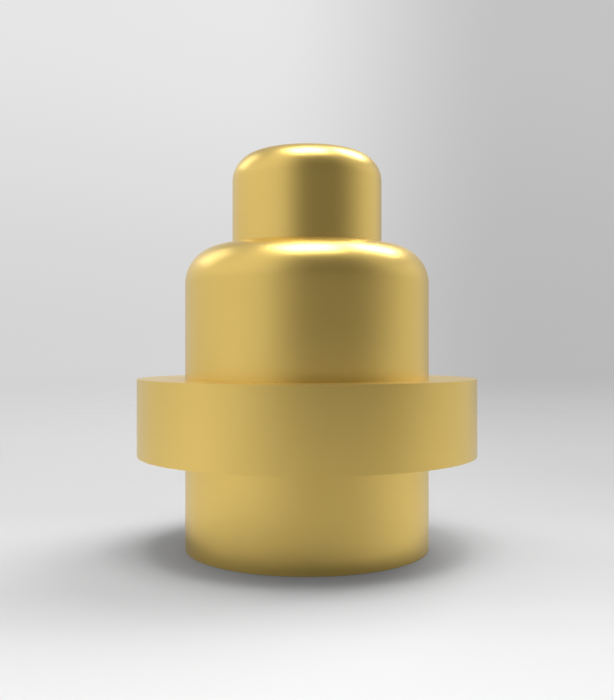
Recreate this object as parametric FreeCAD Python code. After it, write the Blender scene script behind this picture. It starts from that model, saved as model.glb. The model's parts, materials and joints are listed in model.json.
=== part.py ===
import FreeCAD, Part
import math
import os

# Pogo pin: a turned, flanged barrel whose rolled rim holds in a sprung plunger.
# Millimetres, +Z up. The origin is the middle of the tail's flat end, and Z is the pin's axis.

# Plunger
head_radius = 0.8          # contact head that stands out of the barrel
head_rounding = 0.3        # between the head's side and its flat contact face
head_reach = 1.0           # contact face above the barrel's rim, at rest
stroke = 0.8               # travel into the barrel
collar_width = 0.22        # step from the head out to the collar that the rim holds in
crown_thickness = 0.6      # metal between the spring's seat and the contact face
head_wall = 0.2            # metal round the drilling, inside the head
mouth_bevel = 0.05         # mouth of the drilling, which leads the spring in

# Barrel
wall = 0.25                # round the bore, and of the rolled rim
floor_thickness = 0.4      # closed end under the spring
floor_rounding = 0.1       # corner that the boring tool leaves at the floor
tail_length = 1.0          # stands in the board's hole, or on its pad
flange_thickness = 0.8
flange_width = 0.5         # step from the barrel out to the flange's edge
upper_length = 1.4         # from the flange to the top of the rim
shoulder_rounding = 0.4    # outside of the rolled rim
edge_break = 0.01          # bevel on every other edge

# Spring
wire = 0.16                # diameter of the wire
wire_flats = 8             # flats that stand for the round of the wire
active_turns = 7
closed_turns = 1           # dead turns at each end
ground_tip = 0.04          # thickness left at each ground end of the wire

# Clearances
slide_clearance = 0.03     # plunger to barrel, all round
stop_gap = 0.02            # collar to rim, at rest
floor_gap = 0.02           # plunger to floor, at full travel
spring_clearance = 0.05    # spring to its drilling, all round
turn_gap = 0.02            # between closed turns

# Radii, worked outwards from the head
rim_hole_radius = head_radius + slide_clearance
collar_radius = head_radius + collar_width
bore_radius = collar_radius + slide_clearance
barrel_radius = bore_radius + wall
flange_radius = barrel_radius + flange_width
drilling_radius = head_radius - head_wall
coil_radius = drilling_radius - spring_clearance - wire / 2

# Heights, worked up from the tail's flat end
flange_top = tail_length + flange_thickness
barrel_top = flange_top + upper_length
rim_underside = barrel_top - wall
head_top = barrel_top + head_reach
spring_seat = head_top - crown_thickness
collar_top = rim_underside - stop_gap
plunger_end = floor_thickness + floor_gap + stroke

# Roundings that follow each other: the rim's outside, its inside, and the collar under it
rim_width = barrel_radius - rim_hole_radius
rim_outside = min(shoulder_rounding, rim_width - edge_break)
rim_inside = max(rim_outside - wall, 0)
collar_rounding = max(rim_inside - slide_clearance, 0)

axis = FreeCAD.Vector(0, 0, 1)
origin = FreeCAD.Vector(0, 0, 0)


def cut_corner(before, corner, after, finish="sharp", size=0):
    """Return where an outline meets a square corner, the edge across it, and where it leaves."""
    if size == 0:
        return corner, [], corner
    back = (before - corner).normalize() * size
    onward = (after - corner).normalize() * size
    start = corner + back
    end = corner + onward
    if finish == "bevel":
        return start, [Part.LineSegment(start, end).toShape()], end
    middle = corner + (back + onward) * (1 - math.sqrt(0.5))
    return start, [Part.Arc(start, middle, end).toShape()], end


def turned(outline):
    """Turn half of a lengthwise section into a solid.

    The outline's corners are (radius, height), and "bevel" or "round" with a size says how
    one is cut.
    """
    corners = [FreeCAD.Vector(radius, 0, height) for radius, height, *cut in outline]
    nexts = corners[1:] + corners[:1]
    runs = []
    for i, (radius, height, *cut) in enumerate(outline):
        runs.append(cut_corner(corners[i - 1], corners[i], nexts[i], *cut))
    edges = []
    for i, (start, across, end) in enumerate(runs):
        previous_end = runs[i - 1][2]
        edges.append(Part.LineSegment(previous_end, start).toShape())
        edges += across
    return Part.Face(Part.Wire(edges)).revolve(origin, axis, 360)


def barrel():
    """Tail, flange and upper barrel in one piece, bored from above, with its rim rolled in."""
    return turned([
        (0, 0),
        (barrel_radius, 0, "bevel", edge_break),
        (barrel_radius, tail_length),
        (flange_radius, tail_length, "bevel", edge_break),
        (flange_radius, flange_top, "bevel", edge_break),
        (barrel_radius, flange_top),
        (barrel_radius, barrel_top, "round", rim_outside),
        (rim_hole_radius, barrel_top, "bevel", edge_break),
        (rim_hole_radius, rim_underside, "bevel", edge_break),
        (bore_radius, rim_underside, "round", rim_inside),
        (bore_radius, floor_thickness, "round", floor_rounding),
        (0, floor_thickness),
    ])


def plunger():
    """Contact head and wider collar in one piece, drilled from behind for the spring."""
    return turned([
        (0, spring_seat),
        (drilling_radius, spring_seat),
        (drilling_radius, plunger_end, "bevel", mouth_bevel),
        (collar_radius, plunger_end, "round", floor_rounding),
        (collar_radius, collar_top, "round", collar_rounding),
        (head_radius, collar_top),
        (head_radius, head_top, "round", head_rounding),
        (0, head_top),
    ])


def coil_path(runs, start_height):
    """Return the wire's centre line, climbing through runs of (pitch, turns)."""
    edges = []
    height = start_height
    turns_so_far = 0
    for pitch, turns in runs:
        climb = pitch * turns
        helix = Part.makeHelix(pitch, climb, coil_radius)
        helix.rotate(origin, axis, 360 * turns_so_far)
        helix.translate(axis * height)
        edges += helix.Edges
        height += climb
        turns_so_far += turns
    return Part.Wire(edges)


def wire_section(path):
    """Return the wire's section at the start of its path, flattened, with a round wire's area."""
    first = path.Edges[0]
    centre = first.valueAt(first.FirstParameter)
    along = first.tangentAt(first.FirstParameter)
    out = FreeCAD.Vector(centre.x, centre.y, 0).normalize()
    up = along.cross(out)
    step = 2 * math.pi / wire_flats
    corner_reach = wire / 2 * math.sqrt(step / math.sin(step))
    corners = []
    for i in range(wire_flats):
        angle = (i + 0.5) * step
        corners.append(centre + (out * math.cos(angle) + up * math.sin(angle)) * corner_reach)
    return Part.makePolygon(corners + corners[:1])


def spring():
    """Compression spring at its fitted length, with closed turns ground flat at both ends."""
    fitted_length = spring_seat - floor_thickness
    ground_depth = wire / 2 - ground_tip
    climb = fitted_length + 2 * ground_depth
    closed_pitch = wire + turn_gap
    active_pitch = (climb - 2 * closed_turns * closed_pitch) / active_turns
    closed = (closed_pitch, closed_turns)
    path = coil_path([closed, (active_pitch, active_turns), closed], floor_thickness - ground_depth)

    sweep = Part.BRepOffsetAPI.MakePipeShell(path)
    sweep.setBiNormalMode(axis)
    sweep.add(wire_section(path))
    sweep.build()
    sweep.makeSolid()
    between_seats = Part.makeCylinder(drilling_radius, fitted_length, axis * floor_thickness)
    return sweep.shape().common(between_seats).Solids[0]


os.makedirs("parts", exist_ok=True)
for name, piece in [("barrel", barrel()), ("plunger", plunger()), ("spring", spring())]:
    piece.exportStep(os.path.join("parts", name + ".step"))
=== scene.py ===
import json
import math

import bmesh
import bpy
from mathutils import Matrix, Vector


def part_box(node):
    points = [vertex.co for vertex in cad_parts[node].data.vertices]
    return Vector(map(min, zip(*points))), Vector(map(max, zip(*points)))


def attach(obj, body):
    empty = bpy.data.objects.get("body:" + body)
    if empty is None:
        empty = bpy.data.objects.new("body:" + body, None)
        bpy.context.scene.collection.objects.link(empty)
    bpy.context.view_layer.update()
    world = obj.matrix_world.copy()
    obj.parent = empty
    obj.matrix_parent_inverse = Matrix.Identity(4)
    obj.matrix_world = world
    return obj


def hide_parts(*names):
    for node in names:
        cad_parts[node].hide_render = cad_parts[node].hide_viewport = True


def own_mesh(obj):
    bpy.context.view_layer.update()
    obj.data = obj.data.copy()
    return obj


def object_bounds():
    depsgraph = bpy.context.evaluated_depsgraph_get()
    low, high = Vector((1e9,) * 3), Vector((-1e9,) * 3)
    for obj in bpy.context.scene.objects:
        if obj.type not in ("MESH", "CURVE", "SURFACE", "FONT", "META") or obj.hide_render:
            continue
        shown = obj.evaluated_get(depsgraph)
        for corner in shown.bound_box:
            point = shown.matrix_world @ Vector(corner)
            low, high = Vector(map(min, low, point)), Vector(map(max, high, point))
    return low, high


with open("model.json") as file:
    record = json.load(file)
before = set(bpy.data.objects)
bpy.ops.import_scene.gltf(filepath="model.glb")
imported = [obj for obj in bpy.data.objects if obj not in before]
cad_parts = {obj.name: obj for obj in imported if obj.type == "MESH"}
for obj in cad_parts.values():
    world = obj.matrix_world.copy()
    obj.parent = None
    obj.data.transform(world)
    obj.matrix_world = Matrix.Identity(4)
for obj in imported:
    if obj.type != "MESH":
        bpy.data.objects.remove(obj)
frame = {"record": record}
cad_low, cad_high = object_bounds()

bl_info = {
    "name": "Pogo pin",
    "version": (1, 0, 0),
    "blender": (4, 5, 0),
    "location": "View3D > Sidebar > Pogo pin",
    "description": "Finishes a flanged, spring-loaded contact pin in gold-plated turned brass",
    "category": "Add Mesh",
}

MM = 0.001

# Places that the frame gives
mounts = {mount["name"]: mount for mount in frame["record"]["mounts"]}
barrel_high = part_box("barrel")[1]
plunger_low, plunger_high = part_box("plunger")
spring_low, spring_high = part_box("spring")


def length(name, description, default):
    """Return a property that holds one length in metres."""
    return bpy.props.FloatProperty(
        name=name, description=description, default=default, min=0, unit="LENGTH", precision=6,
    )


def count(name, description, default):
    """Return a property that holds a whole number."""
    return bpy.props.IntProperty(name=name, description=description, default=default, min=1)


def share(name, description, default):
    """Return a property that holds a share from 0 to 1."""
    return bpy.props.FloatProperty(
        name=name, description=description, default=default, min=0, max=1, precision=3,
        subtype="FACTOR",
    )


def brightness(name, description, default):
    """Return a property that holds the radiance of a lamp's front."""
    return bpy.props.FloatProperty(
        name=name, description=description, default=default, min=0, precision=3,
    )


def focal_length(name, description, default):
    """Return a property that holds a lens in millimetres."""
    return bpy.props.FloatProperty(
        name=name, description=description, default=default, min=1, unit="CAMERA", precision=3,
    )


def colour(name, description, default):
    """Return a property that holds a linear colour."""
    return bpy.props.FloatVectorProperty(
        name=name, description=description, default=default, size=3, min=0, max=1, subtype="COLOR",
    )


class BarrelSizes(bpy.types.PropertyGroup):
    """Sizes of the turned barrel with its flange and rolled rim."""

    radius: length("Barrel radius", "Outside of the tail and upper barrel",
                   mounts["upper_barrel"]["dims"]["r_mm"] * MM)
    flange_radius: length("Flange radius", "Outside of the flange", barrel_high.x)
    flange_underside: length("Flange underside", "Height of the flange's lower face",
                             mounts["flange_underside"]["pos_m"][2])
    flange_top: length("Flange top", "Height of the flange's upper face",
                       mounts["flange_top"]["pos_m"][2])
    top: length("Rim top", "Height of the rolled rim", barrel_high.z)
    wall: length("Wall", "Thickness of the wall and of the rolled rim", 0.25 * MM)
    floor_top: length("Bore floor", "Height of the closed end inside", spring_low.z)
    floor_rounding: length("Floor rounding", "Corner between the bore and its floor", 0.1 * MM)
    shoulder_rounding: length("Shoulder rounding", "Outside of the rolled rim", 0.4 * MM)
    edge_break: length("Edge break", "Bevel on the edges of the tail's end and the rim", 0.003 * MM)


class PlungerSizes(bpy.types.PropertyGroup):
    """Sizes of the sliding plunger with its contact head."""

    head_radius: length("Head radius", "Side of the contact head", 0.8 * MM)
    head_rounding: length("Head rounding", "Between the head's side and its flat face", 0.3 * MM)
    top: length("Contact face", "Height of the flat contact face",
                mounts["contact_face"]["pos_m"][2])
    collar_radius: length("Collar radius", "Collar that the rim holds in", plunger_high.x)
    slide_clearance: length("Slide clearance", "Gap to the barrel, all round", 0.03 * MM)
    stop_gap: length("Stop gap", "Gap from the collar up to the rim, at rest", 0.02 * MM)
    bottom: length("Plunger end", "Height of the plunger's lower end", plunger_low.z)
    drilling_radius: length("Drilling radius", "Drilling that takes the spring", 0.6 * MM)
    drilling_top: length("Drilling end", "Height of the spring's upper seat", spring_high.z)
    mouth_bevel: length("Mouth bevel", "Lead-in at the drilling's mouth", 0.05 * MM)


class SpringSizes(bpy.types.PropertyGroup):
    """Sizes of the coil spring at its fitted length."""

    wire: length("Wire", "Diameter of the wire", 0.16 * MM)
    clearance: length("Clearance", "Gap to the drilling, all round", 0.05 * MM)
    bottom: length("Lower seat", "Height of the ground lower end", spring_low.z)
    top: length("Upper seat", "Height of the ground upper end", spring_high.z)
    ground_tip: length("Ground tip", "Wire left above each seat where it starts", 0.04 * MM)
    turn_gap: length("Turn gap", "Gap between the closed turns", 0.02 * MM)
    closed_turns: count("Closed turns", "Dead turns at each end", 1)
    active_turns: count("Active turns", "Turns that work", 7)


class Finishes(bpy.types.PropertyGroup):
    """Colours and surface grain of the plated brass and of the wire."""

    gold: colour("Gold", "Satin gold plating", (0.90, 0.635, 0.175))
    gold_pale: colour("Pale gold", "Gold where the plating lies a little thicker", (0.92, 0.66, 0.195))
    gold_roughness: share("Gold roughness", "Satin sheen of the plating", 0.31)
    cloud_size: length("Cloud size", "Patches of paler gold", 0.9 * MM)
    turning_pitch: length("Turning pitch", "Spacing of the fine turning lines", 0.03 * MM)
    turning_depth: length("Turning depth", "Height of the fine turning lines", 0.00002 * MM)
    band_pitch: length("Band pitch", "Spacing of the broader rings that the lathe leaves", 0.36 * MM)
    band_sheen: share("Band sheen", "How far the broader rings change the roughness", 0.012)
    grain_size: length("Grain size", "Grain of the satin plating", 0.02 * MM)
    grain_sheen: share("Grain sheen", "How far the grain changes the roughness", 0.02)
    grain_height: share("Grain height", "Height of the grain, in turning depths", 0.6)
    steel: colour("Spring wire", "Drawn stainless wire", (0.62, 0.60, 0.56))
    steel_roughness: share("Wire roughness", "Sheen of the drawn wire", 0.32)
    mottling_size: length("Mottling size", "Patches on the drawn wire", 0.12 * MM)
    mottling_tone: share("Mottling tone", "How bright the duller patches stay", 0.82)
    mottling_sheen: share("Mottling sheen", "How far the patches change the roughness", 0.05)
    die_mark_size: length("Die mark size", "Fine marks that the drawing leaves", 0.008 * MM)
    die_mark_depth: length("Die mark depth", "Height of these marks", 0.00005 * MM)


class Studio(bpy.types.PropertyGroup):
    """Camera, floor and lights."""

    camera_distance: length("Camera distance", "In front of the pin's axis", 9.205 * MM)
    camera_height: length("Camera height", "Above the floor", 2.101 * MM)
    lens: focal_length("Lens", "Focal length of the camera", 43.93)
    floor_radius: length("Floor radius", "Round floor under the pin", 120 * MM)
    # Painted light on the paper: painted shade behind the pin, painted light in front, and where each
    # is full
    back_colour: colour("Back colour", "Paper behind the pin", (0.64, 0.64, 0.64))
    front_colour: colour("Front colour", "Paper in front of the pin", (0.95, 0.95, 0.95))
    back_edge: length("Back edge", "Where the paper is at its greyest, behind the pin", 5 * MM)
    front_edge: length("Front edge", "Where the paper is at its palest, before the pin", 5.5 * MM)
    fade_start: length("Fade start", "Where the floor starts to fade into the backdrop", 3 * MM)
    fade_reach: length("Fade reach", "How far it takes from there to fade by about two thirds", 18 * MM)
    # Painted shade behind at the right, and painted shadows beside and before the pin
    right_painted_shade: share("Right shade", "How much greyer the paper is behind at the right", 0.12)
    left_painted_shadow: share("Left shade", "How much greyer the paper is beside the pin at the left", 0.05)
    side_painted_shadow: share("Side shade", "How much greyer the paper is beside the pin at the right", 0.05)
    patch_painted_shadow: share("Patch shade", "How much greyer the paper is before the pin at the left", 0.05)
    lamp_distance: length("Lamp distance", "From the pin to each softbox", 60 * MM)
    glint_distance: length("Glint distance", "From the pin to what metal shows of them", 50 * MM)
    room_light: share("Room light", "Share of the back walls' grey that lights matt surfaces", 0.85)
    front_light: share("Front light", "Share of the front wall's grey that does", 0.50)
    top_light: brightness("Top light", "Softbox overhead", 4.1)
    right_light: brightness("Right light", "Softbox behind at the right", 2.8)
    left_light: brightness("Left light", "Softbox behind at the left", 1.5)
    top_glint: brightness("Top glint", "What metal shows of the softbox overhead", 5.55)
    right_glint: brightness("Right glint", "What metal shows of the one at the right", 5.7)
    left_glint: brightness("Left glint", "What metal shows of the one at the left", 1.0)
    # Radiance of the glowing card, a painted reflection that only metal shows
    card_radiance: share("Card grey", "Grey card that metal shows in front at the right", 0.18)
    card_distance: length("Card distance", "From the pin's axis to the upright card", 16 * MM)
    card_height: length("Card height", "Top of the upright card", 36 * MM)


# Node trees
# Factor, first, second and result among the sockets of a Mix node, for numbers and for colours
MIX_SOCKETS = {"FLOAT": (0, 2, 3, 0), "RGBA": (0, 6, 7, 2)}


def add_node(tree, kind, inputs=None, **settings):
    """Add a node, set its properties, and give its inputs values or links by name or number."""
    node = tree.nodes.new(kind)
    for name, value in settings.items():
        setattr(node, name, value)
    for name, value in (inputs or {}).items():
        if isinstance(value, bpy.types.NodeSocket):
            tree.links.new(value, node.inputs[name])
        else:
            node.inputs[name].default_value = value
    return node


def math_node(tree, operation, *values):
    """Return the output of a math node on one to three numbers or sockets."""
    return add_node(tree, "ShaderNodeMath", dict(enumerate(values)), operation=operation).outputs[0]


def product(tree, first, *others):
    """Return the product of numbers or sockets."""
    for other in others:
        first = math_node(tree, "MULTIPLY", first, other)
    return first


def map_range(tree, value, start, end, low=0.0, high=1.0, change="LINEAR"):
    """Map a value from start to end onto low to high, and hold it at the ends."""
    return add_node(
        tree, "ShaderNodeMapRange",
        {"Value": value, "From Min": start, "From Max": end, "To Min": low, "To Max": high},
        interpolation_type=change,
    ).outputs[0]


def soft_edge(tree, value, outside, inside):
    """Return 0 outside and 1 inside, with a smooth change between the two places."""
    return map_range(tree, value, outside, inside, change="SMOOTHSTEP")


def mix(tree, kind, factor, first, second):
    """Return the mix of two numbers (FLOAT) or of two colours (RGBA)."""
    factor_socket, first_socket, second_socket, result = MIX_SOCKETS[kind]
    inputs = {factor_socket: factor, first_socket: first, second_socket: second}
    return add_node(tree, "ShaderNodeMix", inputs, data_type=kind).outputs[result]


def ramp_node(tree, factor, stops, change="LINEAR"):
    """Return the grey that a ramp gives through (position, level) stops."""
    node = add_node(tree, "ShaderNodeValToRGB", {0: factor})
    ramp = node.color_ramp
    ramp.interpolation = change
    while len(ramp.elements) < len(stops):
        ramp.elements.new(0.5)
    for element, (position, level) in zip(ramp.elements, stops):
        element.position = position
        element.color = (level, level, level, 1)
    return node.outputs[0]


def separate(tree, place):
    """Return the X, Y and Z outputs of a point."""
    return add_node(tree, "ShaderNodeSeparateXYZ", {0: place}).outputs


def combine(tree, **parts):
    """Return a point from its X, Y and Z."""
    return add_node(tree, "ShaderNodeCombineXYZ", parts).outputs[0]


def from_axis(tree, parts):
    """Return how far a point lies from the pin's axis."""
    flat = combine(tree, X=parts["X"], Y=parts["Y"])
    return add_node(tree, "ShaderNodeVectorMath", {0: flat}, operation="LENGTH").outputs["Value"]


def shape_tree(name, sockets):
    """Start a geometry tree with named inputs, and return it with its group input and output."""
    tree = bpy.data.node_groups.new(name, "GeometryNodeTree")
    tree.interface.new_socket("Geometry", in_out="INPUT", socket_type="NodeSocketGeometry")
    for socket_name, socket_type in sockets:
        tree.interface.new_socket(socket_name, in_out="INPUT", socket_type=socket_type)
    tree.interface.new_socket("Geometry", in_out="OUTPUT", socket_type="NodeSocketGeometry")
    return tree, tree.nodes.new("NodeGroupInput").outputs, tree.nodes.new("NodeGroupOutput")


def finish_tree(tree, geometry, sharp_angle, material, group_output):
    """End a geometry tree: smooth faces, sharp square edges, real geometry and its material."""
    smooth = add_node(tree, "GeometryNodeSetShadeSmooth", {"Geometry": geometry, "Shade Smooth": True})
    angle = add_node(tree, "GeometryNodeInputMeshEdgeAngle")
    square = add_node(
        tree, "FunctionNodeCompare", {0: angle.outputs["Unsigned Angle"], 1: sharp_angle},
        data_type="FLOAT", operation="GREATER_THAN",
    )
    sharp = add_node(
        tree, "GeometryNodeSetShadeSmooth",
        {"Geometry": smooth.outputs[0], "Selection": square.outputs[0], "Shade Smooth": False},
        domain="EDGE",
    )
    real = add_node(tree, "GeometryNodeRealizeInstances", {"Geometry": sharp.outputs[0]})
    coated = add_node(
        tree, "GeometryNodeSetMaterial", {"Geometry": real.outputs[0], "Material": material},
    )
    tree.links.new(coated.outputs[0], group_output.inputs[0])


def shape_piece(name, tree, inputs, mesh=None):
    """Run a tree once, keep its result as a plain mesh object, and return the object."""
    piece = bpy.data.objects.new(name, mesh or bpy.data.meshes.new(name + "_start"))
    bpy.context.scene.collection.objects.link(piece)
    modifier = piece.modifiers.new("shape", "NODES")
    modifier.node_group = tree
    for item in tree.interface.items_tree:
        if item.in_out == "INPUT" and item.name in inputs:
            modifier[item.identifier] = inputs[item.name]
    depsgraph = bpy.context.evaluated_depsgraph_get()
    finished = bpy.data.meshes.new_from_object(piece.evaluated_get(depsgraph), depsgraph=depsgraph)
    piece.modifiers.clear()
    start = piece.data
    piece.data = finished
    bpy.data.meshes.remove(start)
    finished.name = name
    if not finished.polygons:
        raise RuntimeError(f"{name} came out with no faces")
    return piece


# Turned pieces
# Divisions round the axis and along each rounding
DIVISIONS = 192
ARC_STEPS = 24
SHARP_ANGLE = math.radians(30)
WELD_DISTANCE = 0.00005 * MM
# Radius of the circle that an outline is swept along, whatever its own radii are
GUIDE_RADIUS = 1 * MM
# How far beside a corner its supporting points lie, in sizes of its rounding
SUPPORT_REACH = 1.12
# What each point of an outline says about its corner
CORNER_ATTRIBUTES = [("rounding", "FLOAT"), ("arc_steps", "INT")]


def turned_tree():
    """Round an outline's corners and turn it about the pin's axis."""
    tree, given, result = shape_tree("turned_piece", [
        ("Divisions", "NodeSocketInt"),
        ("Guide Radius", "NodeSocketFloat"),
        ("Weld Distance", "NodeSocketFloat"),
        ("Sharp Angle", "NodeSocketFloat"),
        ("Material", "NodeSocketMaterial"),
    ])
    outline = add_node(tree, "GeometryNodeMeshToCurve", {"Mesh": given["Geometry"]})
    rounding, arc_steps = [
        add_node(tree, "GeometryNodeInputNamedAttribute", {"Name": name}, data_type=kind).outputs[0]
        for name, kind in CORNER_ATTRIBUTES
    ]
    rounded = add_node(
        tree, "GeometryNodeFilletCurve",
        {"Curve": outline.outputs[0], "Radius": rounding, "Count": arc_steps}, mode="POLY",
    )
    place = separate(tree, add_node(tree, "GeometryNodeInputPosition").outputs[0])
    across = math_node(tree, "SUBTRACT", place["X"], given["Guide Radius"])
    down = math_node(tree, "MULTIPLY", place["Z"], -1.0)
    section = add_node(
        tree, "GeometryNodeSetPosition",
        {"Geometry": rounded.outputs[0], "Position": combine(tree, X=across, Y=down)},
    )
    circle = add_node(
        tree, "GeometryNodeCurvePrimitiveCircle",
        {"Resolution": given["Divisions"], "Radius": given["Guide Radius"]},
    )
    guide = add_node(
        tree, "GeometryNodeSetCurveNormal", {"Curve": circle.outputs[0]}, mode="Z_UP",
    )
    turned = add_node(
        tree, "GeometryNodeCurveToMesh",
        {"Curve": guide.outputs[0], "Profile Curve": section.outputs[0]},
    )
    welded = add_node(
        tree, "GeometryNodeMergeByDistance",
        {"Geometry": turned.outputs[0], "Distance": given["Weld Distance"]},
    )
    outwards = add_node(tree, "GeometryNodeFlipFaces", {"Mesh": welded.outputs[0]})
    finish_tree(tree, outwards.outputs[0], given["Sharp Angle"], given["Material"], result)
    return tree


def outline_mesh(name, corners):
    """Return a half section as a line of points that know how their corners are cut.

    A corner is (radius, height), and "bevel" or "round" with a size says how it is cut. A point
    close by each rounding keeps the shading of the straight stretch beside it straight.
    """
    places = [Vector((corner[0], 0, corner[1])) for corner in corners]
    points = []
    for i, (radius, height, *cut) in enumerate(corners):
        finish, size = cut or ("sharp", 0)
        if finish != "round":
            points.append((places[i], size, 1))
            continue
        supports = []
        for neighbour in (places[i - 1], places[i + 1]):
            reach = neighbour - places[i]
            supports.append(places[i] + reach.normalized() * min(size * SUPPORT_REACH, reach.length))
        points += [(supports[0], 0, 1), (places[i], size, ARC_STEPS), (supports[1], 0, 1)]
    spots, *corner_values = zip(*points)
    mesh = bpy.data.meshes.new(name)
    mesh.from_pydata(spots, [(i, i + 1) for i in range(len(spots) - 1)], [])
    for (attribute, kind), values in zip(CORNER_ATTRIBUTES, corner_values):
        mesh.attributes.new(attribute, kind, "POINT").data.foreach_set("value", values)
    return mesh


def turn_piece(name, corners, material):
    """Turn a half section into a finished piece."""
    tree = bpy.data.node_groups.get("turned_piece") or turned_tree()
    piece = shape_piece(name, tree, {
        "Divisions": DIVISIONS,
        "Guide Radius": GUIDE_RADIUS,
        "Weld Distance": WELD_DISTANCE,
        "Sharp Angle": SHARP_ANGLE,
        "Material": material,
    }, outline_mesh(name + "_outline", corners))
    for attribute, kind in CORNER_ATTRIBUTES:
        found = piece.data.attributes.get(attribute)
        if found:
            piece.data.attributes.remove(found)
    return piece


# Coil spring
STEPS_PER_TURN = 48
WIRE_SIDES = 20
# The round block that the coil is cut to between its seats: its sides, and its radius in coil radii
BLOCK_SIDES = 32
BLOCK_REACH = 2.0


def coil_tree():
    """Wind a wire through closed, active and closed turns, and grind its ends flat."""
    tree, given, result = shape_tree("coil_spring", [
        ("Coil Radius", "NodeSocketFloat"),
        ("Wire Radius", "NodeSocketFloat"),
        ("Closed Turns", "NodeSocketInt"),
        ("Active Turns", "NodeSocketInt"),
        ("Closed Pitch", "NodeSocketFloat"),
        ("Active Pitch", "NodeSocketFloat"),
        ("Lower Seat", "NodeSocketFloat"),
        ("Upper Seat", "NodeSocketFloat"),
        ("Ground Depth", "NodeSocketFloat"),
        ("Steps Per Turn", "NodeSocketInt"),
        ("Wire Sides", "NodeSocketInt"),
        ("Sharp Angle", "NodeSocketFloat"),
        ("Material", "NodeSocketMaterial"),
    ])
    closed = given["Closed Turns"]
    last_active = math_node(tree, "ADD", closed, given["Active Turns"])
    last = math_node(tree, "ADD", last_active, closed)
    closed_climb = math_node(tree, "MULTIPLY", given["Closed Pitch"], closed)
    active_climb = math_node(tree, "MULTIPLY", given["Active Pitch"], given["Active Turns"])
    steps = math_node(tree, "MULTIPLY", last, given["Steps Per Turn"])
    points = add_node(tree, "GeometryNodeMeshLine", {"Count": math_node(tree, "ADD", steps, 1)})
    line = add_node(tree, "GeometryNodeMeshToCurve", {"Mesh": points.outputs[0]})

    index = add_node(tree, "GeometryNodeInputIndex").outputs[0]
    turn = math_node(tree, "DIVIDE", index, given["Steps Per Turn"])
    angle = math_node(tree, "MULTIPLY", turn, math.tau)
    to_active = map_range(tree, turn, 0.0, closed, high=closed_climb)
    through_active = map_range(tree, turn, closed, last_active, high=active_climb)
    to_end = map_range(tree, turn, last_active, last, high=closed_climb)
    rise = math_node(tree, "ADD", math_node(tree, "ADD", to_active, through_active), to_end)
    start = math_node(tree, "SUBTRACT", given["Lower Seat"], given["Ground Depth"])
    spiral = combine(
        tree,
        X=math_node(tree, "MULTIPLY", math_node(tree, "COSINE", angle), given["Coil Radius"]),
        Y=math_node(tree, "MULTIPLY", math_node(tree, "SINE", angle), given["Coil Radius"]),
        Z=math_node(tree, "ADD", start, rise),
    )
    wound = add_node(
        tree, "GeometryNodeSetPosition", {"Geometry": line.outputs[0], "Position": spiral},
    )
    upright = add_node(tree, "GeometryNodeSetCurveNormal", {"Curve": wound.outputs[0]}, mode="Z_UP")
    section = add_node(
        tree, "GeometryNodeCurvePrimitiveCircle",
        {"Resolution": given["Wire Sides"], "Radius": given["Wire Radius"]},
    )
    wire = add_node(
        tree, "GeometryNodeCurveToMesh",
        {"Curve": upright.outputs[0], "Profile Curve": section.outputs[0], "Fill Caps": True},
    )

    both_seats = math_node(tree, "ADD", given["Upper Seat"], given["Lower Seat"])
    block = add_node(tree, "GeometryNodeMeshCylinder", {
        "Vertices": BLOCK_SIDES,
        "Radius": math_node(tree, "MULTIPLY", given["Coil Radius"], BLOCK_REACH),
        "Depth": math_node(tree, "SUBTRACT", given["Upper Seat"], given["Lower Seat"]),
    })
    between_seats = add_node(tree, "GeometryNodeTransform", {
        "Geometry": block.outputs[0],
        "Translation": combine(tree, Z=math_node(tree, "MULTIPLY", both_seats, 0.5)),
    })
    ground = add_node(
        tree, "GeometryNodeMeshBoolean", operation="INTERSECT", solver="EXACT",
    )
    tree.links.new(wire.outputs[0], ground.inputs["Mesh 2"])
    tree.links.new(between_seats.outputs[0], ground.inputs["Mesh 2"])
    finish_tree(tree, ground.outputs[0], given["Sharp Angle"], given["Material"], result)
    return tree


# Materials
# Nearly all values of a noise lie between these two
NOISE_LOW = 0.3
NOISE_HIGH = 0.7


def start_material(name):
    """Return a new node material with its tree, its shader and a point on the piece."""
    material = bpy.data.materials.new(name)
    material.use_nodes = True
    tree = material.node_tree
    shader = tree.nodes["Principled BSDF"]
    place = add_node(tree, "ShaderNodeTexCoord").outputs["Object"]
    return material, tree, shader, place


def noise(tree, place, cell, detail=2.0):
    """Return the value of a noise whose cells have the given size."""
    return add_node(
        tree, "ShaderNodeTexNoise", {"Vector": place, "Scale": 1 / cell, "Detail": detail},
    ).outputs[0]


def spread(tree, value, middle, reach):
    """Map a noise to values round a middle."""
    return map_range(tree, value, NOISE_LOW, NOISE_HIGH, middle - reach, middle + reach)


def add_bump(tree, shader, relief, depth):
    """Give a shader a fine relief."""
    bump = add_node(tree, "ShaderNodeBump", {"Height": relief, "Distance": depth, "Strength": 1.0})
    tree.links.new(bump.outputs[0], shader.inputs["Normal"])


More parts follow.
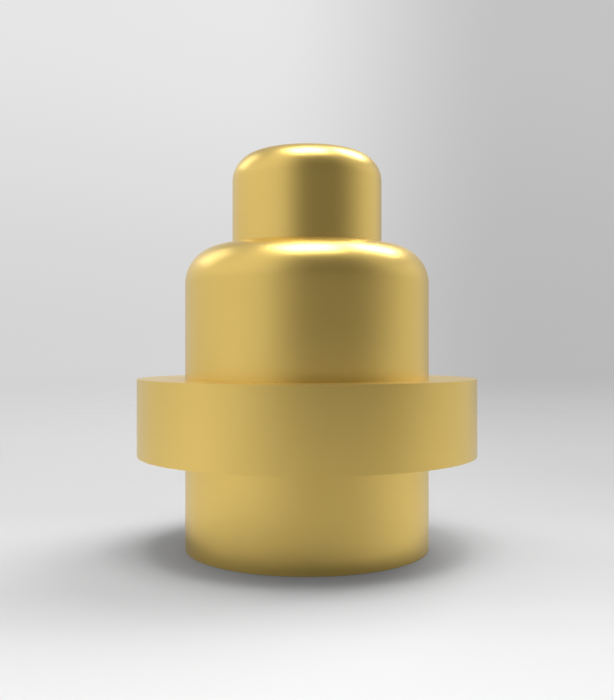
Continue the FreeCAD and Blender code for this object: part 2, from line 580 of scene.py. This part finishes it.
def gold_plating(finishes):
    """Satin gold over turned brass: faint rings from the lathe under an even plating."""
    found = bpy.data.materials.get("gold_plating_satin")
    if found:
        return found
    material, tree, shader, place = start_material("gold_plating_satin")
    parts = separate(tree, place)
    rings = combine(tree, X=from_axis(tree, parts), Z=parts["Z"])
    fine_lines = noise(tree, rings, finishes.turning_pitch, detail=3.0)
    feed_bands = noise(tree, rings, finishes.band_pitch)
    clouds = noise(tree, place, finishes.cloud_size, detail=3.0)
    grain = noise(tree, place, finishes.grain_size, detail=1.0)

    tone = mix(tree, "RGBA", clouds, (*finishes.gold, 1), (*finishes.gold_pale, 1))
    tree.links.new(tone, shader.inputs["Base Color"])
    shader.inputs["Metallic"].default_value = 1
    shader.distribution = "GGX"
    ring_sheen = spread(tree, feed_bands, finishes.gold_roughness, finishes.band_sheen)
    grain_sheen = spread(tree, grain, 0, finishes.grain_sheen)
    tree.links.new(math_node(tree, "ADD", ring_sheen, grain_sheen), shader.inputs["Roughness"])
    grain_relief = math_node(tree, "MULTIPLY", grain, finishes.grain_height)
    relief = math_node(tree, "ADD", fine_lines, grain_relief)
    add_bump(tree, shader, relief, finishes.turning_depth)
    return material


def spring_wire(finishes):
    """Drawn stainless wire, a little uneven in sheen, with fine marks from the die."""
    material, tree, shader, place = start_material("spring_wire_drawn")
    mottling = noise(tree, place, finishes.mottling_size, detail=3.0)
    die_marks = noise(tree, place, finishes.die_mark_size)
    dull = tuple(part * finishes.mottling_tone for part in finishes.steel)
    tone = mix(tree, "RGBA", mottling, (*finishes.steel, 1), (*dull, 1))
    tree.links.new(tone, shader.inputs["Base Color"])
    shader.inputs["Metallic"].default_value = 1
    sheen = spread(tree, mottling, finishes.steel_roughness, finishes.mottling_sheen)
    tree.links.new(sheen, shader.inputs["Roughness"])
    add_bump(tree, shader, die_marks, finishes.die_mark_depth)
    return material


class POGO_PIN_OT_barrel(bpy.types.Operator):
    """Turn the barrel: tail, flange, upper barrel and rolled rim, bored from above"""

    bl_idname = "pogo_pin.barrel"
    bl_label = "Barrel"

    def execute(self, context):
        sizes = context.scene.pogo_barrel
        plunger = context.scene.pogo_plunger
        bore_radius = sizes.radius - sizes.wall
        rim_underside = sizes.top - sizes.wall
        rim_hole_radius = plunger.head_radius + plunger.slide_clearance
        edge = ("bevel", sizes.edge_break)
        piece = turn_piece("barrel_turned", [
            (0, 0),
            (sizes.radius, 0, *edge),
            (sizes.radius, sizes.flange_underside),
            (sizes.flange_radius, sizes.flange_underside),
            (sizes.flange_radius, sizes.flange_top),
            (sizes.radius, sizes.flange_top),
            (sizes.radius, sizes.top, "round", sizes.shoulder_rounding),
            (rim_hole_radius, sizes.top, *edge),
            (rim_hole_radius, rim_underside, *edge),
            (bore_radius, rim_underside, "round", sizes.shoulder_rounding - sizes.wall),
            (bore_radius, sizes.floor_top, "round", sizes.floor_rounding),
            (0, sizes.floor_top),
        ], gold_plating(context.scene.pogo_finishes))
        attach(piece, "barrel")
        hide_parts("barrel")
        return {"FINISHED"}


class POGO_PIN_OT_plunger(bpy.types.Operator):
    """Turn the plunger: contact head, collar under the rim, and the drilling for the spring"""

    bl_idname = "pogo_pin.plunger"
    bl_label = "Plunger"

    def execute(self, context):
        sizes = context.scene.pogo_plunger
        barrel = context.scene.pogo_barrel
        collar_top = barrel.top - barrel.wall - sizes.stop_gap
        rim_inside = barrel.shoulder_rounding - barrel.wall
        piece = turn_piece("plunger_turned", [
            (0, sizes.drilling_top),
            (sizes.drilling_radius, sizes.drilling_top),
            (sizes.drilling_radius, sizes.bottom, "bevel", sizes.mouth_bevel),
            (sizes.collar_radius, sizes.bottom, "round", barrel.floor_rounding),
            (sizes.collar_radius, collar_top, "round", rim_inside - sizes.slide_clearance),
            (sizes.head_radius, collar_top),
            (sizes.head_radius, sizes.top, "round", sizes.head_rounding),
            (0, sizes.top),
        ], gold_plating(context.scene.pogo_finishes))
        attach(piece, "plunger")
        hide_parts("plunger")
        return {"FINISHED"}


class POGO_PIN_OT_spring(bpy.types.Operator):
    """Wind the coil spring between the barrel's floor and the plunger's drilling"""

    bl_idname = "pogo_pin.spring"
    bl_label = "Spring"

    def execute(self, context):
        sizes = context.scene.pogo_spring
        plunger = context.scene.pogo_plunger
        closed_pitch = sizes.wire + sizes.turn_gap
        ground_depth = sizes.wire / 2 - sizes.ground_tip
        climb = sizes.top - sizes.bottom + 2 * ground_depth
        active_pitch = (climb - 2 * sizes.closed_turns * closed_pitch) / sizes.active_turns
        piece = shape_piece("spring_coil", coil_tree(), {
            "Coil Radius": plunger.drilling_radius - sizes.clearance - sizes.wire / 2,
            "Wire Radius": sizes.wire / 2,
            "Closed Turns": sizes.closed_turns,
            "Active Turns": sizes.active_turns,
            "Closed Pitch": closed_pitch,
            "Active Pitch": active_pitch,
            "Lower Seat": sizes.bottom,
            "Upper Seat": sizes.top,
            "Ground Depth": ground_depth,
            "Steps Per Turn": STEPS_PER_TURN,
            "Wire Sides": WIRE_SIDES,
            "Sharp Angle": SHARP_ANGLE,
            "Material": spring_wire(context.scene.pogo_finishes),
        })
        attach(piece, "barrel")
        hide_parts("spring")
        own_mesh(piece)
        return {"FINISHED"}


# Paper floor
FLOOR_SIDES = 96
PAPER_ROUGHNESS = 0.7
PAPER_GLOSS = 0.3
BLACK = (0, 0, 0, 1)
# How far the paper has turned from its painted grey behind the pin (0) to its painted white in front
# (1): painted shade behind and painted light in front
PAPER = [
    (0.00, 0.00), (0.29, 0.17), (0.43, 0.36), (0.55, 0.46), (0.65, 0.60), (0.70, 0.76), (0.77, 0.88),
    (1.00, 1.00),
]
# Places along X where each painted shade and painted shadow of the paper starts and where it is full
RIGHT_PAINTED_SHADE = (-1 * MM, 5 * MM)
LEFT_PAINTED_SHADOW = (0, -3 * MM)
SIDE_PAINTED_SHADOW = (-0.5 * MM, 1.7 * MM)
# Edges of the faint patch of painted shadow before the pin at the left, from nothing to full
PATCH_RIGHT = (-0.5 * MM, -2.5 * MM)
PATCH_BACK = (-1.2 * MM, -2.2 * MM)
PATCH_FRONT = (-3.4 * MM, -2.4 * MM)
# Brings a share times its rest, which is at most a quarter, to 1 at most
FULL_MIDDLE = 4.0


def mix_surface(tree, factor, first, second):
    """Give a material's surface a mix of two shaders."""
    mixed = add_node(tree, "ShaderNodeMixShader", {0: factor, 1: first, 2: second})
    tree.links.new(mixed.outputs[0], tree.nodes["Material Output"].inputs["Surface"])


def paper_floor(studio):
    """Matt pale paper that fades into the backdrop far from the pin, painted greyer behind and paler in
    front as painted light, with painted shadows round the pin.
    """
    material, tree, shader, place = start_material("paper_floor")
    shader.inputs["Roughness"].default_value = PAPER_ROUGHNESS
    shader.inputs["Specular IOR Level"].default_value = PAPER_GLOSS
    parts = separate(tree, place)
    # Painted light: the paper painted greyer behind the pin and paler in front
    forward = map_range(tree, parts["Y"], studio.back_edge, -studio.front_edge)
    backward = math_node(tree, "SUBTRACT", 1.0, forward)
    tone = mix(
        tree, "RGBA", ramp_node(tree, forward, PAPER),
        (*studio.back_colour, 1), (*studio.front_colour, 1),
    )

    # Painted shade behind at the right, painted shadows beside the pin and a painted shadow patch
    # before it at the left
    rightward = map_range(tree, parts["X"], *RIGHT_PAINTED_SHADE, high=studio.right_painted_shade)
    leftward = map_range(tree, parts["X"], *LEFT_PAINTED_SHADOW, high=studio.left_painted_shadow)
    sideward = map_range(tree, parts["X"], *SIDE_PAINTED_SHADOW, high=studio.side_painted_shadow)
    beside = math_node(tree, "MULTIPLY", forward, math_node(tree, "MULTIPLY", backward, FULL_MIDDLE))
    patch = product(
        tree,
        soft_edge(tree, parts["Y"], *PATCH_BACK),
        soft_edge(tree, parts["Y"], *PATCH_FRONT),
        soft_edge(tree, parts["X"], *PATCH_RIGHT),
    )
    behind_right = math_node(tree, "MULTIPLY", rightward, backward)
    both_sides = math_node(tree, "MULTIPLY", math_node(tree, "ADD", leftward, sideward), beside)
    behind_and_patch = math_node(tree, "MULTIPLY_ADD", patch, studio.patch_painted_shadow, behind_right)
    shade = math_node(tree, "ADD", behind_and_patch, both_sides)
    tree.links.new(mix(tree, "RGBA", shade, tone, BLACK), shader.inputs["Base Color"])

    beyond_start = math_node(tree, "SUBTRACT", from_axis(tree, parts), studio.fade_start)
    beyond = math_node(tree, "MAXIMUM", beyond_start, 0.0)
    kept = math_node(tree, "EXPONENT", math_node(tree, "DIVIDE", beyond, -studio.fade_reach))
    clear = add_node(tree, "ShaderNodeBsdfTransparent")
    mix_surface(tree, math_node(tree, "SUBTRACT", 1.0, kept), shader.outputs[0], clear.outputs[0])
    return material


def add_floor(studio):
    """Lay a round paper floor at the foot of the pin."""
    mesh = bpy.data.meshes.new("floor")
    shape = bmesh.new()
    bmesh.ops.create_circle(shape, cap_ends=True, segments=FLOOR_SIDES, radius=studio.floor_radius)
    shape.to_mesh(mesh)
    shape.free()
    mesh.materials.append(paper_floor(studio))
    floor = bpy.data.objects.new("floor", mesh)
    bpy.context.scene.collection.objects.link(floor)


# Room
# Grey of the walls from the front (0) by the left (0.25), behind (0.5) and the right (0.75)
WALLS = [
    (0.00, 0.58), (0.10, 0.68), (0.22, 0.72), (0.34, 0.68), (0.41, 0.68), (0.445, 0.66), (0.49, 0.672),
    (0.538, 0.485), (0.585, 0.50), (0.65, 0.68), (0.72, 0.64), (0.80, 0.60), (1.00, 0.58),
]
# Half of how strongly the walls stand out from the dusk, from level (0) to straight up (1)
HEIGHTS_BEHIND = [(0.00, 0.50), (0.39, 0.70), (0.50, 0.42), (0.64, 0.22), (1.00, 0.22)]
HEIGHTS_BEFORE = [(0.00, 0.50), (0.40, 0.66), (1.00, 0.66)]
DUSK = 0.33
FLOOR_GREY = 0.70
# How far back a direction points where the walls before the pin give way to those behind it
BEFORE_TO_BEHIND = (-0.2, 0.35)
# How far up it points where the walls give way to the grey below them
WALLS_TO_FLOOR = (-0.2, -0.6)
# How far back it points where the front wall's light gives way to the room's
FRONT_TO_ROOM_LIGHT = (-1.0, 0.4)


def light_room(studio):
    """Fill the room with a pale grey: brighter at the left, greyer behind at the right."""
    world = bpy.data.worlds.new("pale_room")
    bpy.context.scene.world = world
    world.use_nodes = True
    tree = world.node_tree
    parts = separate(tree, add_node(tree, "ShaderNodeTexCoord").outputs["Generated"])
    around = math_node(tree, "ARCTAN2", parts["X"], parts["Y"])
    turn = math_node(tree, "MULTIPLY_ADD", around, 1 / math.tau, 0.5)
    half_rise = mix(
        tree, "FLOAT", soft_edge(tree, parts["Y"], *BEFORE_TO_BEHIND),
        ramp_node(tree, parts["Z"], HEIGHTS_BEFORE, "EASE"),
        ramp_node(tree, parts["Z"], HEIGHTS_BEHIND, "EASE"),
    )
    rise = math_node(tree, "MULTIPLY", half_rise, 2.0)
    above_dusk = math_node(tree, "SUBTRACT", ramp_node(tree, turn, WALLS, "EASE"), DUSK)
    lit_walls = math_node(tree, "MULTIPLY_ADD", above_dusk, rise, DUSK)
    below = map_range(tree, parts["Z"], *WALLS_TO_FLOOR)
    background = tree.nodes["Background"]
    tree.links.new(mix(tree, "FLOAT", below, lit_walls, FLOOR_GREY), background.inputs["Color"])

    path = add_node(tree, "ShaderNodeLightPath").outputs
    mirrored = math_node(tree, "MAXIMUM", path["Is Glossy Ray"], path["Is Transmission Ray"])
    seen = math_node(tree, "MAXIMUM", path["Is Camera Ray"], mirrored)
    lighting = map_range(
        tree, parts["Y"], *FRONT_TO_ROOM_LIGHT, low=studio.front_light, high=studio.room_light,
    )
    tree.links.new(mix(tree, "FLOAT", seen, lighting, 1.0), background.inputs["Strength"])


# Lamps, each as it lights matt surfaces and as metal shows it. Azimuth from the camera's side (0) by
# the right (90) and elevation, both in degrees, then width and height
SOFTBOXES = {
    "top": (15, 87, 28 * MM, 26 * MM),
    "right": (137, 47, 40 * MM, 40 * MM),
    "left": (-125, 36, 26 * MM, 24 * MM),
}
GLINTS = {
    "top": (15, 88, 27 * MM, 23.5 * MM),
    "right": (128, 53, 17.5 * MM, 22.5 * MM),
    "left": (-125, 36, 21.5 * MM, 20 * MM),
}
# Watts of a lamp of one square metre whose front has a radiance of 1
LAMP_POWER = 4


def hang_lamp(name, azimuth, elevation, width, height, distance, radiance):
    """Hang a flat lamp that faces the middle of the pin."""
    lamp = bpy.data.lights.new(name, "AREA")
    lamp.shape = "RECTANGLE"
    lamp.size = width
    lamp.size_y = height
    lamp.energy = LAMP_POWER * radiance * width * height
    holder = bpy.data.objects.new(name, lamp)
    bpy.context.scene.collection.objects.link(holder)
    turn = math.radians(azimuth)
    rise = math.radians(elevation)
    away = Vector((
        math.sin(turn) * math.cos(rise), -math.cos(turn) * math.cos(rise), math.sin(rise),
    ))
    holder.location = (cad_low + cad_high) / 2 + away * distance
    holder.rotation_mode = "QUATERNION"
    holder.rotation_quaternion = away.to_track_quat("Z", "Y")
    holder.visible_camera = False
    return holder


# Grey card that glows and that only metal shows, a painted reflection: a bowl round the pin, lying on
# the floor and curved up
CARD_SIDES = 96
CARD_LIFT = 0.02 * MM
CARD_BEND = 4 * MM
CARD_BEND_STEPS = 12
# Places from the axis, or above the floor, where each stretch of it begins and where it is full
CARD_INNER_EDGE = (1.0 * MM, 1.6 * MM)
CARD_AT_CONTACT = (2.0 * MM, 1.3 * MM)
CARD_AT_FOOT = (2.8 * MM, 1.7 * MM)
CARD_NEAR_PIN = (7 * MM, 2.5 * MM)
CARD_FAR = (4 * MM, 10 * MM)
CARD_UPRIGHT = (0.1 * MM, 3 * MM)
# Edges of its deep side, from nothing to full, in degrees round the pin from the front by the right
DEEP_LEFT_LYING = (-80, 18)
DEEP_LEFT_UPRIGHT = (-46, 3)
DEEP_RIGHT_LYING = (105, 30)
DEEP_RIGHT_UPRIGHT = (105, 40)
# Degrees that the deep side swings to the left near the pin, and its right edge more at the foot
NEAR_SWING = 9
FOOT_SWING = 25
# How thick the deep side is, and how much thicker in some places
DEEP_THICKNESS = 0.55
THICKER_FAR = 0.05
THICKER_AT_FOOT = 0.12
THICKER_UPRIGHT = 0.40
# Where the thin card round the foot, a painted darker reflection there, begins and is full, in degrees:
# behind the pin, counted from the front, and all round but at the right, counted from the middle of the
# right
BEHIND_EDGE = (95, 135)
RIGHT_MIDDLE = 75
RIGHT_EDGE = (35, 70)
FOOT_THICKNESS_BEHIND = 0.18
FOOT_THICKNESS_ROUND = 0.2
# Painted shadow: how much of the card's glow is gone where the pin meets the floor
CONTACT_PAINTED_SHADOW = 0.75


def degrees_edge(tree, angle, outside, inside):
    """Return 0 outside and 1 inside, between two angles in degrees."""
    return soft_edge(tree, angle, math.radians(outside), math.radians(inside))


def deep_edge(tree, angle, upright, lying_edge, upright_edge):
    """Return 0 to 1 across an edge of the deep side, which turns as the card goes upright."""
    outside, inside = [
        math_node(tree, "MULTIPLY_ADD", upright, math.radians(there - here), math.radians(here))
        for here, there in zip(lying_edge, upright_edge)
    ]
    return soft_edge(tree, angle, outside, inside)


def grey_card(studio):
    """Glowing grey, a painted reflection: thick in front at the right, thin round the pin's foot and
    clear elsewhere, dimmed by painted shadow at the contact.
    """
    material, tree, shader, place = start_material("grey_card")
    tree.nodes.remove(shader)
    parts = separate(tree, place)
    reach = from_axis(tree, parts)
    forward = math_node(tree, "MULTIPLY", parts["Y"], -1.0)
    around = math_node(tree, "ARCTAN2", parts["X"], forward)
    upright = soft_edge(tree, parts["Z"], *CARD_UPRIGHT)
    at_foot = soft_edge(tree, reach, *CARD_AT_FOOT)

    near_pin = soft_edge(tree, reach, *CARD_NEAR_PIN)
    swung = math_node(tree, "MULTIPLY_ADD", near_pin, math.radians(NEAR_SWING), around)
    swung_more = math_node(tree, "MULTIPLY_ADD", at_foot, math.radians(FOOT_SWING), swung)
    left = deep_edge(tree, swung, upright, DEEP_LEFT_LYING, DEEP_LEFT_UPRIGHT)
    right = deep_edge(tree, swung_more, upright, DEEP_RIGHT_LYING, DEEP_RIGHT_UPRIGHT)
    far = soft_edge(tree, reach, *CARD_FAR)
    thickness = DEEP_THICKNESS
    for where, more in (
        (far, THICKER_FAR), (at_foot, THICKER_AT_FOOT), (upright, THICKER_UPRIGHT),
    ):
        thickness = math_node(tree, "MULTIPLY_ADD", where, more, thickness)
    deep_side = product(tree, left, right, thickness)

    behind = degrees_edge(tree, math_node(tree, "ABSOLUTE", around), *BEHIND_EDGE)
    from_right = math_node(tree, "SUBTRACT", around, math.radians(RIGHT_MIDDLE))
    not_right = degrees_edge(tree, math_node(tree, "ABSOLUTE", from_right), *RIGHT_EDGE)
    thin_round = math_node(tree, "MULTIPLY", not_right, FOOT_THICKNESS_ROUND)
    thin = math_node(tree, "MULTIPLY_ADD", behind, FOOT_THICKNESS_BEHIND, thin_round)
    round_foot = math_node(tree, "MULTIPLY", at_foot, thin)

    outside_pin = soft_edge(tree, reach, *CARD_INNER_EDGE)
    cover = math_node(tree, "MULTIPLY", outside_pin, math_node(tree, "MAXIMUM", deep_side, round_foot))
    # Painted shadow: the glow dimmed where the pin meets the floor
    at_contact = soft_edge(tree, reach, *CARD_AT_CONTACT)
    shadowed_glow = math_node(tree, "MULTIPLY_ADD", at_contact, -CONTACT_PAINTED_SHADOW, 1.0)
    grey = add_node(
        tree, "ShaderNodeEmission", {"Color": (*[studio.card_radiance] * 3, 1), "Strength": shadowed_glow},
    )
    clear = add_node(tree, "ShaderNodeBsdfTransparent")
    mix_surface(tree, cover, clear.outputs[0], grey.outputs[0])
    return material


def add_painted_reflection_card(studio):
    """Put the glowing card round the pin, a painted reflection for the gold to show a deep side and a
    darker foot.
    """
    bend_start = studio.card_distance - CARD_BEND
    section = [(CARD_INNER_EDGE[0], CARD_LIFT), (bend_start, CARD_LIFT)]
    for i in range(1, CARD_BEND_STEPS + 1):
        angle = math.pi / 2 * i / CARD_BEND_STEPS
        across = bend_start + CARD_BEND * math.sin(angle)
        section.append((across, CARD_LIFT + CARD_BEND * (1 - math.cos(angle))))
    section.append((studio.card_distance, studio.card_height))
    points = []
    for i in range(CARD_SIDES):
        angle = math.tau * i / CARD_SIDES
        points += [(reach * math.sin(angle), -reach * math.cos(angle), z) for reach, z in section]
    rows = len(section)
    faces = []
    for i in range(CARD_SIDES):
        here = rows * i
        there = rows * ((i + 1) % CARD_SIDES)
        faces += [(here + j, there + j, there + j + 1, here + j + 1) for j in range(rows - 1)]
    mesh = bpy.data.meshes.new("grey_card")
    mesh.from_pydata(points, [], faces)
    mesh.materials.append(grey_card(studio))
    card = bpy.data.objects.new("grey_card", mesh)
    bpy.context.scene.collection.objects.link(card)
    card.visible_camera = False
    card.visible_diffuse = False
    card.visible_shadow = False


# Camera: the width in millimetres that its lens is stated for, and the range that it sees
SENSOR_WIDTH = 36
NEAREST = 0.1 * MM
FARTHEST = 1000 * MM


def add_camera(studio):
    """Stand the camera level in front of the pin, half way up."""
    data = bpy.data.cameras.new("camera")
    data.sensor_width = SENSOR_WIDTH
    data.lens = studio.lens
    data.clip_start = NEAREST
    data.clip_end = FARTHEST
    camera = bpy.data.objects.new("camera", data)
    bpy.context.scene.collection.objects.link(camera)
    camera.location = (0, -studio.camera_distance, studio.camera_height)
    camera.rotation_euler = (math.radians(90), 0, 0)
    bpy.context.scene.camera = camera


class POGO_PIN_OT_stage(bpy.types.Operator):
    """Lay the floor, light the room and stand the camera"""

    bl_idname = "pogo_pin.stage"
    bl_label = "Stage"

    def execute(self, context):
        studio = context.scene.pogo_studio
        add_floor(studio)
        light_room(studio)
        for side, place in SOFTBOXES.items():
            radiance = getattr(studio, side + "_light")
            softbox = hang_lamp("softbox_" + side, *place, studio.lamp_distance, radiance)
            softbox.visible_glossy = False
        for side, place in GLINTS.items():
            radiance = getattr(studio, side + "_glint")
            glint = hang_lamp("glint_" + side, *place, studio.glint_distance, radiance)
            glint.visible_diffuse = False
        add_painted_reflection_card(studio)
        add_camera(studio)
        context.scene.view_settings.view_transform = "Standard"
        context.scene.cycles.caustics_reflective = False
        return {"FINISHED"}


class POGO_PIN_PT_panel(bpy.types.Panel):
    """Sizes and steps of the pogo pin."""

    bl_idname = "POGO_PIN_PT_panel"
    bl_label = "Pogo pin"
    bl_space_type = "VIEW_3D"
    bl_region_type = "UI"
    bl_category = "Pogo pin"

    def draw(self, context):
        for group_name, group_class, operators in STEPS:
            box = self.layout.box()
            group = getattr(context.scene, group_name)
            for name in group_class.__annotations__:
                box.prop(group, name)
            for operator in operators:
                box.operator(operator.bl_idname)


# Each group of values with its class and the steps that it is for
STEPS = [
    ("pogo_finishes", Finishes, []),
    ("pogo_barrel", BarrelSizes, [POGO_PIN_OT_barrel]),
    ("pogo_plunger", PlungerSizes, [POGO_PIN_OT_plunger]),
    ("pogo_spring", SpringSizes, [POGO_PIN_OT_spring]),
    ("pogo_studio", Studio, [POGO_PIN_OT_stage]),
]
CLASSES = [
    *[group_class for name, group_class, operators in STEPS],
    *[operator for name, group_class, operators in STEPS for operator in operators],
    POGO_PIN_PT_panel,
]


def register():
    for one in CLASSES:
        bpy.utils.register_class(one)
    for name, group_class, operators in STEPS:
        setattr(bpy.types.Scene, name, bpy.props.PointerProperty(type=group_class))


def unregister():
    for name, group_class, operators in STEPS:
        delattr(bpy.types.Scene, name)
    for one in reversed(CLASSES):
        bpy.utils.unregister_class(one)


def main():
    register()
    bpy.ops.pogo_pin.barrel()
    bpy.ops.pogo_pin.plunger()
    bpy.ops.pogo_pin.spring()
    bpy.ops.pogo_pin.stage()


if __name__ == "__main__":
    main()
